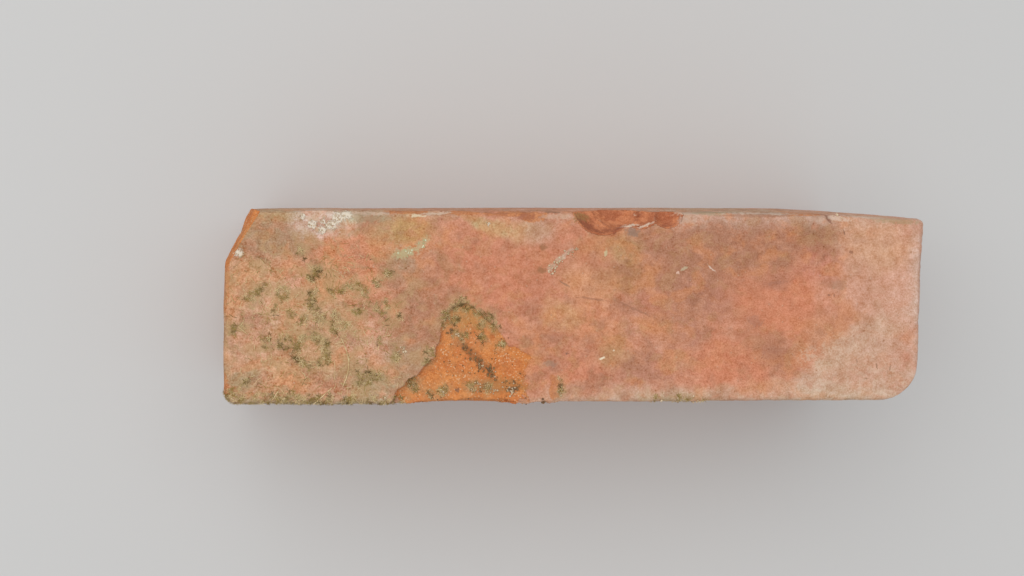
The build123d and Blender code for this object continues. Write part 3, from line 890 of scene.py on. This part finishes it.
def relief_tree():
    """Gives the remeshed brick the relief of moulded, fired and weathered clay."""
    inputs = (
        ("Wave", "Float", 0.00025),
        ("Lump", "Float", 0.0001),
        ("Pit", "Float", 0.0005),
        ("Crumble", "Float", 0.0006),
        ("Fracture", "Float", 0.0004),
        ("Moss places", "Object", None),
        ("Lime places", "Object", None),
        ("Soot places", "Object", None),
        ("Low", "Vector", None),
        ("High", "Vector", None),
    )
    bench, given, out = new_geometry_tree("Brick relief", inputs)
    position = bench.result("GeometryNodeInputPosition")
    normal = bench.result("GeometryNodeInputNormal")
    place = position * METRE
    x, y, z = bench.split(place)
    lean_x, lean_y, _ = bench.split(normal)
    depth = HIGH.z - z  # below the top

    # How far a point is from the nearest arris of the whole brick
    to_end = HIGH.x - abs(x)
    to_bed = HIGH.y - abs(y)
    to_rest = bench.least(z, depth)
    arris = bench.most(bench.least(to_end, to_bed), bench.least(bench.most(to_end, to_bed), to_rest))

    # Where the clay is split: the floor of the scar lies under the top face's curve
    under = HIGH.z - HOLLOW + bench.math("POWER", x / HIGH.x, 2.0) * HOLLOW - z
    off_scar = bench.vector("LENGTH", (place - SCAR_CENTRE) / SCAR_REACH)
    scar = bench.ramp(off_scar, 1.12, 1.0) * bench.ramp(under, 0.2, 0.45)
    broken = bench.ramp(lean_x, -0.1, -0.35) * bench.ramp(lean_y, 0.1, 0.35)
    broken = broken * bench.ramp(depth, 22.0, 6.0) * bench.math("LESS_THAN", x, -90.0)
    fracture = bench.math("MAXIMUM", scar, broken, clamp=True)
    knocked, seam = knock_masks(bench, place)

    growth, halo = patch_mask(bench, position, given["Moss places"], 0.0035)
    lime, _ = patch_mask(bench, position, given["Lime places"], 0.003)
    soot, _ = patch_mask(bench, position, given["Soot places"], 0.0012)
    near_top = bench.ramp(depth, 8.0, 4.5)
    growth, halo, lime, soot = (mask * near_top for mask in (growth, halo, lime, soot))

    # Relief along the normal, mostly inwards: waves, lumps, pits and crumbled arrises
    waves = bench.noise(place, 38.0) - 0.62
    lumps = bench.noise(place, 6.5, 3, 0.55) - 0.55
    rise = waves * (given["Wave"] * 2.0) + lumps * (given["Lump"] * 2.0)
    distance, chances = bench.cells(place, 7.5)
    pits = bench.ramp(distance, 0.16, 0.04) * bench.ramp(chances[1], 0.52, 0.6)
    rise = rise - bench.most(pits, soot * 0.6) * given["Pit"]
    gnawed = bench.ramp(bench.noise(place, 4.2, 4, 0.62), 0.42, 0.68)
    gnawed = gnawed * bench.ramp(y, -26.0, -10.0, 0.45, 1.0) * bench.ramp(x, 80.0, 105.0, 1.0, 0.4)
    rise = rise - bench.ramp(arris, 4.5, 0.6) * gnawed * given["Crumble"]

    # Split and knocked clay is rough
    raw = bench.math("MAXIMUM", fracture, knocked, clamp=True)
    rough = (bench.noise(place, 2.4, 4, 0.7) - 0.5) * 2.0 + (bench.noise(place, 7.0) - 0.5) * 1.6
    rise = rise + raw * rough * given["Fracture"]

    # The slumped bed face drew out along its length where the mould let it go
    slump = bench.ramp(lean_y, 0.6, 0.9) * bench.ramp(depth, 40.0, 4.0)
    drag = (bench.noise(place * (0.12, 1.0, 1.0), 2.4, 4, 0.6) - 0.62) * (given["Lump"] * 6.0)
    rise = rise + slump * drag
    moved = position + normal * rise

    # The rim of the scar broke unevenly
    rim = bench.ramp(off_scar, 1.35, 1.15) * bench.ramp(depth, 7.0, 5.0)
    tug = (bench.noise(place, 3.4, 3, 0.62, colour=True) - MIDDLE) * (0.0032, 0.0032, 0.0)
    moved = moved + tug * rim

    # At its right side the scar runs out into the top face
    run_out = x + (bench.noise(place, 3.2, 5, 0.75) - 0.5) * 12.0 + bench.ramp(y, -16.0, -21.0) * 3.0
    faded = bench.ramp(run_out, -21.0, -10.5) * scar
    lift = bench.ramp(run_out, -25.0, -16.5) * scar * bench.most(under - 0.35, 0.0) / METRE
    moved = moved + bench.join(0.0, 0.0, lift)

    # The broken corner swells out below the top face, most towards the back
    swell = broken * (bench.ramp(y, 22.0, 27.0) * bench.ramp(y, 31.3, 29.0))
    swell = swell * bench.ramp(depth, 0.6, 2.6) * bench.ramp(bench.noise(place, 6.0, 3), 0.3, 0.6, 0.75, 1.15)
    moved = moved + (-0.001, 0.0003, 0.0) * swell
    moved = bench.vector("MAXIMUM", bench.vector("MINIMUM", moved, given["High"]), given["Low"])

    masks = ground_masks(bench, place)
    masks["fracture"] = fracture * (1.0 - faded)
    masks.update(knocked=knocked, seam=seam, growth=growth, halo=halo, lime=lime, soot=soot)
    geometry = given["Geometry"]
    for name, mask in masks.items():
        geometry = stored(bench, geometry, name, mask)
    shaped = bench.result("GeometryNodeSetPosition", 0, {"Geometry": geometry, "Position": moved})
    smooth = bench.result("GeometryNodeSetShadeSmooth", 0, {"Geometry": shaped})
    return finish_tree(bench, smooth, given, out)


def skin_of_node(node, voxel):
    """A finely remeshed copy of a CAD node's mesh, as its own object."""
    block = bmesh.new()
    block.from_mesh(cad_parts[node].data)
    bmesh.ops.remove_doubles(block, verts=block.verts, dist=1e-6)
    skin = block_object("brick_skin", block)
    remesh = skin.modifiers.new("even faces", "REMESH")
    remesh.mode = "VOXEL"
    remesh.voxel_size = voxel
    skin.data = made_mesh(skin, remesh)
    return skin


def thin_out(skin, faces, height):
    """Collapses faces to the given number of triangles, and leaves them finer above a height."""
    for upper, share in ((False, 0.4), (True, 0.6)):
        points = skin.data.vertices
        # Each face's triangles, and the height of its first corner
        found = [(len(face.vertices) - 2, points[face.vertices[0]].co.z) for face in skin.data.polygons]
        total = sum(triangles for triangles, _ in found)
        part = sum(triangles for triangles, z in found if (z > height) == upper)
        if part <= faces * share:
            continue
        group = skin.vertex_groups.new(name="thinned")
        group.add([point.index for point in points if (point.co.z > height) == upper], 1.0, "REPLACE")
        collapse = skin.modifiers.new("fewer faces", "DECIMATE")
        collapse.vertex_group = group.name
        collapse.vertex_group_factor = 1.0
        collapse.ratio = (total - part + faces * share) / total
        fewer = made_mesh(skin, collapse)
        skin.vertex_groups.clear()
        skin.data = fewer


def scatter_tree():
    """Scatters one small shape over the patches of a skin, turned to stand on it."""
    if "Scatter on clay" in bpy.data.node_groups:
        return bpy.data.node_groups["Scatter on clay"]
    inputs = (
        ("Places", "Object", None),
        ("Shape", "Object", None),
        ("Per square metre", "Float", 3.0e6),
        ("Spacing", "Float", 0.0003),
        ("Smallest", "Float", 0.6),
        ("Largest", "Float", 1.3),
        ("Lean", "Float", 0.4),
        ("Ragged", "Float", 0.0035),
        ("Lowest", "Float", 0.09),
        ("Dryness", "Float", 0.0),
        ("Seed", "Int", 1),
    )
    bench, given, out = new_geometry_tree("Scatter on clay", inputs)
    position = bench.result("GeometryNodeInputPosition")
    mask, _ = patch_mask(bench, position, given["Places"], given["Ragged"])
    mask = mask * bench.ramp(bench.split(position)[2], given["Lowest"], given["Lowest"] + 0.002)
    mask = mask * bench.ramp(bench.noise(position * METRE, 1.5), 0.38, 0.56)
    feeds = {
        "Mesh": given["Geometry"],
        "Distance Min": given["Spacing"],
        "Density Max": given["Per square metre"],
        "Density Factor": mask,
        "Seed": given["Seed"],
    }
    spread = bench.add("GeometryNodeDistributePointsOnFaces", distribute_method="POISSON")
    bench.fill(spread, feeds)

    # Each shape leans at random from the surface and is turned about it
    lean = given["Lean"]
    back = lean * -1.0
    feeds = {0: bench.join(back, back, 0.0), 1: bench.join(lean, lean, FULL_TURN), "Seed": given["Seed"]}
    tilt = bench.result("FunctionNodeRandomValue", 0, feeds, data_type="FLOAT_VECTOR")
    turn = bench.result("FunctionNodeEulerToRotation", 0, {0: tilt})
    feeds = {0: Wire(bench, spread.outputs["Rotation"]), 1: turn}
    stood = bench.result("FunctionNodeRotateRotation", 0, feeds, rotation_space="LOCAL")
    feeds = {2: given["Smallest"], 3: given["Largest"], "Seed": given["Seed"] + 7}
    size = bench.result("FunctionNodeRandomValue", 1, feeds, data_type="FLOAT")
    feeds = {
        "Points": Wire(bench, spread.outputs["Points"]),
        "Instance": bench.result("GeometryNodeObjectInfo", "Geometry", {"Object": given["Shape"]}),
        "Rotation": stood,
        "Scale": size,
    }
    laid = bench.result("GeometryNodeInstanceOnPoints", 0, feeds)

    # Each has a tone of its own, which also drifts from patch to patch
    chance = bench.result("FunctionNodeRandomValue", 1, {"Seed": given["Seed"] + 19}, data_type="FLOAT")
    around = bench.result("GeometryNodeInputPosition") * METRE
    shade = chance * 0.9 + (bench.noise(around, 6.0, 1) - 0.45) * 1.3
    shade = bench.math("ADD", shade, given["Dryness"], clamp=True)
    return finish_tree(bench, stored(bench, laid, "tone", shade, "INSTANCE"), given, out)


def tuft(length, width, rise, blades):
    """A tuft of thin curved blades that arch out from the origin, close to the ground."""
    block = bmesh.new()
    for index in range(blades):
        turn = Matrix.Rotation(radians(index * 137.5), 3, "Z")
        reach = length * (0.7 + 0.11 * (index * 3 % 5))
        curl = length * (0.35 - 0.3 * (index % 3))
        rows = []
        for share, height, broad in ((0.0, -0.15, 0.7), (0.35, 0.75, 1.0), (0.7, 1.0, 0.8), (1.0, 0.5, 0.25)):
            middle = Vector((curl * share * share, reach * share, rise * height))
            half = Vector((width * broad / 2, 0, 0))
            rows.append([block.verts.new(turn @ (middle - half)), block.verts.new(turn @ (middle + half))])
        for near, far in zip(rows, rows[1:]):
            block.faces.new((near[0], near[1], far[1], far[0]))
    return block_object("tuft", block)


def crumb(radius, flatness):
    """One angular crumb, sunk a little into what it lies on."""
    block = bmesh.new()
    bmesh.ops.create_icosphere(block, subdivisions=1, radius=radius)
    for index, vertex in enumerate(block.verts):
        vertex.co *= 0.82 + 0.09 * (index * 5 % 5)
        vertex.co.z = (vertex.co.z + 0.55 * radius) * flatness
    return block_object("crumb", block)


def scattered(name, skin, shape, places, **values):
    """A plain mesh object of shapes scattered on the skin."""
    base = new_object(name + " base", skin.data.copy())
    seeds = points_object(name + " places", places)
    mesh = run_tree(base, scatter_tree(), places=seeds, shape=shape, **values)
    for item in (base, seeds):
        bpy.data.objects.remove(item)
    piece = new_object(name, mesh)
    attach(piece, "root")
    return piece


def laid_strand(skin, route, thick):
    """A dry strand over the given X and Y points, laid on the skin, as loose curve data."""
    strand = bpy.data.curves.new("strand", "CURVE")
    strand.dimensions = "3D"
    strand.bevel_depth = thick / 2
    strand.bevel_resolution = 2
    strand.resolution_u = 6
    strand.use_fill_caps = True
    spline = strand.splines.new("NURBS")
    spline.points.add(len(route) - 1)
    for index, (x, y) in enumerate(route):
        hit, where, _, _ = skin.ray_cast(Vector((x / METRE, y / METRE, 0.2)), Vector((0, 0, -1)))
        height = where.z if hit else TOP / METRE
        spline.points[index].co = (x / METRE, y / METRE, height + thick * 0.4 + STRAW_LIFT * (index % 2), 1)
        spline.points[index].radius = 0.45 if index in (0, len(route) - 1) else 1.0
    spline.order_u = 3
    spline.use_endpoint_u = True
    return strand


def length(name, description, default):
    """A length that a user may change."""
    return FloatProperty(name=name, description=description, default=default, unit="LENGTH")


def colour(name, description, default):
    """A colour that a user may change."""
    return FloatVectorProperty(name=name, description=description, default=default, subtype="COLOR")


class BrickSkinSettings(bpy.types.PropertyGroup):
    """Sizes and colours of the brick's skin."""

    voxel: length("Voxel", "Size of the skin's faces before they are thinned out", 0.0005)
    faces: IntProperty(
        name="Triangles",
        description="Most triangles that the skin may have",
        default=190000,
    )
    wave: length("Wave", "Depth of the broad waves of the moulded faces", 0.0004)
    lump: length("Lump", "Depth of the small lumps and drags", 0.00016)
    pit: length("Pit", "Depth of the pits", 0.0006)
    crumble: length("Crumble", "How deep the arrises have crumbled", 0.0008)
    fracture: length("Fracture", "Roughness of the split clay", 0.00035)
    grain_contrast: FloatProperty(
        name="Grain contrast",
        description="How strongly light and dark grains show",
        default=1.0,
    )
    fracture_colour: colour("Split clay", "Colour of the scar and the broken corner", (0.63, 0.215, 0.06))
    fracture_shade: colour("Split clay, darker", "Darker mottling of the split clay", (0.59, 0.185, 0.054))
    fracture_light: colour("Split clay, lighter", "Brightest mottling of the split clay", (0.67, 0.25, 0.078))
    fracture_speck: colour("Split clay, grains", "Pale grains in the split clay", (0.8, 0.56, 0.34))
    fracture_dark: colour("Split clay, darkest", "Weathered spots of the split clay", (0.44, 0.18, 0.065))
    knock_colour: colour("Knocked clay", "Colour of the chips in the back arris", (0.6, 0.215, 0.096))
    knock_shade: colour("Knocked clay, darker", "Darker mottling of the chips", (0.44, 0.14, 0.062))
    knock_light: colour("Knocked clay, lighter", "Brighter mottling of the chips", (0.64, 0.24, 0.11))
    # Painted shade: the dark line where one chip meets the next
    knock_seam_shade: colour("Knocked clay, seams", "Dark line where one chip meets the next", (0.22, 0.065, 0.035))
    rubbed_colour: colour("Rubbed clay", "Bright clay of rubbed arrises", (0.6, 0.23, 0.085))
    rubbed_shade: colour("Rubbed clay, darker", "Browner parts of rubbed arrises", (0.47, 0.17, 0.07))
    algae_colour: colour("Algae", "Colour of the thin green film", (0.33, 0.26, 0.11))
    algae_shade: colour("Algae, darker", "Darker, browner parts of the film", (0.26, 0.17, 0.08))
    bloom_colour: colour("Bloom", "Colour of the pale salt bloom", (0.72, 0.53, 0.38))
    veil_colour: colour("Veil", "Olive dusting between the moss", (0.47, 0.31, 0.15))
    thread_dark: colour("Threads", "Brown threads in the growth", (0.2, 0.13, 0.055))
    thread_pale: colour("Threads, dry", "Straw-coloured threads in the growth", (0.68, 0.52, 0.26))
    soot_colour: colour("Soot", "Colour of dark specks and burnt spots", (0.14, 0.1, 0.075))
    lime_colour: colour("Lime", "Colour of old lime on the clay", LIME)


class BrickGrowthSettings(bpy.types.PropertyGroup):
    """Moss and lichen on the brick."""

    blade: length("Blade", "Length of a moss blade", 0.001)
    blade_width: length("Blade width", "Width of a moss blade", 0.00014)
    rise: length("Rise", "How high a moss blade stands", 0.0003)
    per_square_metre: FloatProperty(
        name="Tufts",
        description="Moss tufts to the square metre where it is thick",
        default=2600000.0,
    )
    moss_green: colour("Moss", "Colour of living moss", (0.34, 0.23, 0.06))
    moss_dark: colour("Moss, darker", "Colour of the oldest blades", (0.12, 0.078, 0.022))
    moss_dry: colour("Moss, dry", "Colour of dried blades", (0.68, 0.52, 0.27))
    lichen_colour: colour("Lichen", "Colour of the pale green lichen", (0.72, 0.69, 0.47))
    lichen_shade: colour("Lichen, greener", "Greener scales of the lichen", (0.4, 0.37, 0.16))


class BrickLitterSettings(bpy.types.PropertyGroup):
    """Crumbs, grit and straw on the brick."""

    crumb_radius: length("Crumb", "Radius of a loose crumb", 0.00036)
    pale_colour: colour("Pale crumbs", "Colour of lime crumbs", (0.74, 0.58, 0.39))
    pale_shade: colour("Pale crumbs, darker", "Darker tone of lime crumbs", (0.44, 0.3, 0.16))
    dark_colour: colour("Dark grit", "Colour of dark grit", (0.17, 0.09, 0.04))
    dark_shade: colour("Dark grit, browner", "Browner tone of dark grit", (0.34, 0.18, 0.06))
    grain_colour: colour("Scar grains", "Colour of the grains that lie in the scar", (0.74, 0.5, 0.27))
    grain_shade: colour("Scar grains, darker", "Their darker ones", (0.52, 0.26, 0.1))
    straw_thickness: length("Straw", "Thickness of a dry straw", 0.00042)
    straw_colour: colour("Straw", "Colour of dry straw", (0.76, 0.58, 0.31))
    straw_shade: colour("Straw, browner", "Browner parts of the straw", (0.5, 0.31, 0.13))


class BrickStageSettings(bpy.types.PropertyGroup):
    """Floor, lights and camera."""

    floor_colour: colour("Floor", "Colour of the plain floor", (0.62, 0.61, 0.59))
    sky: FloatProperty(name="Sky", description="Strength of the even light from all round", default=0.62)
    lamp: FloatProperty(name="Lamp", description="Power of the large soft lamp", default=14.0, unit="POWER")
    lamp_size: length("Lamp size", "Side of the square soft lamp", 1.6)
    lens: FloatProperty(
        name="Lens",
        description="Focal length on a 36 mm wide sensor, in millimetres",
        default=62.0,
    )
    eye: FloatVectorProperty(
        name="Eye",
        description="Place of the camera",
        default=(-0.09175, 0.01688, 0.6448),
        subtype="XYZ",
        unit="LENGTH",
    )
    aim: FloatVectorProperty(
        name="Aim",
        description="Point of the floor at the middle of the picture",
        default=(-0.00877, 0.00286, 0.0),
        subtype="XYZ",
        unit="LENGTH",
    )


class BRICK_OT_stage(bpy.types.Operator):
    """Lays the floor and sets the lights and the camera"""

    bl_idname = "brick.stage"
    bl_label = "Stage"

    def execute(self, context):
        settings = context.scene.brick_stage
        material, bench, shader = new_material("pale floor")
        bench.fill(shader, {"Base Color": opaque(settings.floor_colour), "Roughness": 0.9})
        mesh = bpy.data.meshes.new("floor")
        mesh.from_pydata([(-3, -3, 0), (3, -3, 0), (3, 3, 0), (-3, 3, 0)], [], [(0, 1, 2, 3)])
        mesh.materials.append(material)
        new_object("floor", mesh)

        world = bpy.data.worlds.new("even sky")
        context.scene.world = world
        world.use_nodes = True
        background = world.node_tree.nodes["Background"]
        background.inputs["Color"].default_value = (0.93, 0.96, 1.0, 1.0)
        background.inputs["Strength"].default_value = settings.sky

        light = bpy.data.lights.new("soft lamp", "AREA")
        light.energy = settings.lamp
        light.size = settings.lamp_size
        place = Vector((-0.40, 0.36, 1.55))
        turn = place.to_track_quat("Z", "Y").to_matrix()
        new_object("soft lamp", light).matrix_world = Matrix.Translation(place) @ turn.to_4x4()

        lens = bpy.data.cameras.new("camera")
        lens.lens = settings.lens
        lens.sensor_width = 36.0
        eye = Vector(settings.eye)
        forward = (Vector(settings.aim) - eye).normalized()
        right = forward.cross(Vector((0, 1, 0))).normalized()
        turn = Matrix((right, right.cross(forward), -forward)).transposed()
        camera = new_object("camera", lens)
        camera.matrix_world = Matrix.Translation(eye) @ turn.to_4x4()
        context.scene.camera = camera
        context.scene.view_settings.view_transform = "Standard"
        return {"FINISHED"}


class BRICK_OT_skin(bpy.types.Operator):
    """Gives the brick its weathered clay skin"""

    bl_idname = "brick.skin"
    bl_label = "Clay skin"

    def execute(self, context):
        settings = context.scene.brick_skin
        skin = skin_of_node("brick", settings.voxel)
        moss = points_object("moss places", MOSS_CUSHIONS)
        lime = points_object("lime places", LIME_PLACES)
        soot = points_object("soot places", SOOT_PLACES)
        skin.data = run_tree(
            skin,
            relief_tree(),
            wave=settings.wave,
            lump=settings.lump,
            pit=settings.pit,
            crumble=settings.crumble,
            fracture=settings.fracture,
            moss_places=moss,
            lime_places=lime,
            soot_places=soot,
            low=tuple(LOW / METRE),
            high=tuple(HIGH / METRE),
            material=clay_material(settings),
        )
        thin_out(skin, settings.faces, FINE_ABOVE)
        for points in (moss, lime, soot):
            bpy.data.objects.remove(points)
        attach(skin, "root")
        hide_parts("brick")
        return {"FINISHED"}


class BRICK_OT_moss(bpy.types.Operator):
    """Grows moss tufts and lichen scales on the skin"""

    bl_idname = "brick.moss"
    bl_label = "Moss and lichen"

    def execute(self, context):
        settings = context.scene.brick_growth
        skin = bpy.data.objects["brick_skin"]
        thick = settings.per_square_metre
        green = moss_material(settings)
        full = tuft(settings.blade, settings.blade_width, settings.rise, 5)
        wisp = tuft(settings.blade * 1.4, settings.blade_width, settings.rise * 0.5, 2)
        scattered(
            "moss", skin, full, MOSS_CUSHIONS,
            per_square_metre=thick, spacing=0.0004, smallest=0.55, largest=1.25,
            lowest=0.1, seed=3, material=green,
        )
        scattered(
            "moss_fringe", skin, full, FRINGE_PLACES,
            per_square_metre=thick * 1.3, spacing=0.00035, smallest=0.6, largest=1.3,
            ragged=0.005, lowest=0.1005, dryness=0.16, seed=5, material=green,
        )
        scattered(
            "moss_wisps", skin, wisp, DUSTING_PLACES,
            per_square_metre=thick * 0.26, spacing=0.0006,
            ragged=0.012, lowest=0.102, dryness=0.2, seed=8, material=green,
        )
        scale = crumb(0.0004, 0.4)
        pale = crumb_material("lichen", settings.lichen_colour, settings.lichen_shade)
        scattered(
            "lichen", skin, scale, LICHEN_PLACES,
            per_square_metre=thick, spacing=0.0004, lowest=0.1, seed=12, material=pale,
        )
        for item in (full, wisp, scale):
            bpy.data.objects.remove(item)
        return {"FINISHED"}


class BRICK_OT_litter(bpy.types.Operator):
    """Strews crumbs, grit and dry straws on the skin"""

    bl_idname = "brick.litter"
    bl_label = "Crumbs, grit and straw"

    def execute(self, context):
        settings = context.scene.brick_litter
        skin = bpy.data.objects["brick_skin"]
        pebble = crumb(settings.crumb_radius, 1.0)
        pale = crumb_material("lime crumbs", settings.pale_colour, settings.pale_shade)
        dark = crumb_material("dark grit", settings.dark_colour, settings.dark_shade)
        grains = crumb_material("scar grains", settings.grain_colour, settings.grain_shade)
        scattered(
            "lime_crumbs", skin, pebble, PALE_CRUMB_PLACES,
            per_square_metre=3.0e6, spacing=0.0003, smallest=0.3, largest=1.4,
            ragged=0.003, lowest=0.1, seed=21, material=pale,
        )
        scattered(
            "lime_dust", skin, pebble, LIME_PLACES,
            per_square_metre=2.4e6, spacing=0.00035, smallest=0.3, largest=1.0,
            ragged=0.004, lowest=0.102, seed=23, material=pale,
        )
        scattered(
            "dark_grit", skin, pebble, DARK_GRIT_PLACES,
            per_square_metre=4.5e6, spacing=0.0003, smallest=0.4, largest=1.7,
            ragged=0.0025, lowest=0.1, seed=34, material=dark,
        )
        scattered(
            "scar_crumbs", skin, pebble, SCAR_DUST_PLACES,
            per_square_metre=1.2e5, spacing=0.0004, smallest=0.2, largest=1.0,
            lowest=0.1, seed=41, material=grains,
        )
        scattered(
            "scar_grit", skin, pebble, SCAR_DUST_PLACES,
            per_square_metre=2.5e5, spacing=0.0004, smallest=0.3, largest=0.9,
            lowest=0.1, seed=47, material=dark,
        )
        bpy.data.objects.remove(pebble)

        block = bmesh.new()
        for route, share in STRAWS:
            strand = new_object("strand", laid_strand(skin, route, settings.straw_thickness * share))
            block.from_mesh(made_mesh(strand))
            bpy.data.objects.remove(strand)
        straws = block_object("straws", block)
        straws.data.materials.append(straw_material(settings))
        for face in straws.data.polygons:
            face.use_smooth = True
        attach(straws, "root")
        return {"FINISHED"}


class BRICK_PT_panel(bpy.types.Panel):
    """Lists the brick's operators"""

    bl_label = "Old clay brick"
    bl_space_type = "VIEW_3D"
    bl_region_type = "UI"
    bl_category = "Brick"

    def draw(self, context):
        for operator in ("brick.stage", "brick.skin", "brick.moss", "brick.litter"):
            self.layout.operator(operator)


SETTINGS = {
    "brick_skin": BrickSkinSettings,
    "brick_growth": BrickGrowthSettings,
    "brick_litter": BrickLitterSettings,
    "brick_stage": BrickStageSettings,
}
CLASSES = (*SETTINGS.values(), BRICK_OT_stage, BRICK_OT_skin, BRICK_OT_moss, BRICK_OT_litter, BRICK_PT_panel)


def register():
    for cls in CLASSES:
        bpy.utils.register_class(cls)
    for name, settings in SETTINGS.items():
        setattr(bpy.types.Scene, name, PointerProperty(type=settings))


def unregister():
    for name in reversed(SETTINGS):
        delattr(bpy.types.Scene, name)
    for cls in reversed(CLASSES):
        bpy.utils.unregister_class(cls)


def main():
    register()
    bpy.ops.brick.stage()
    bpy.ops.brick.skin()
    bpy.ops.brick.moss()
    bpy.ops.brick.litter()


if __name__ == "__main__":
    main()
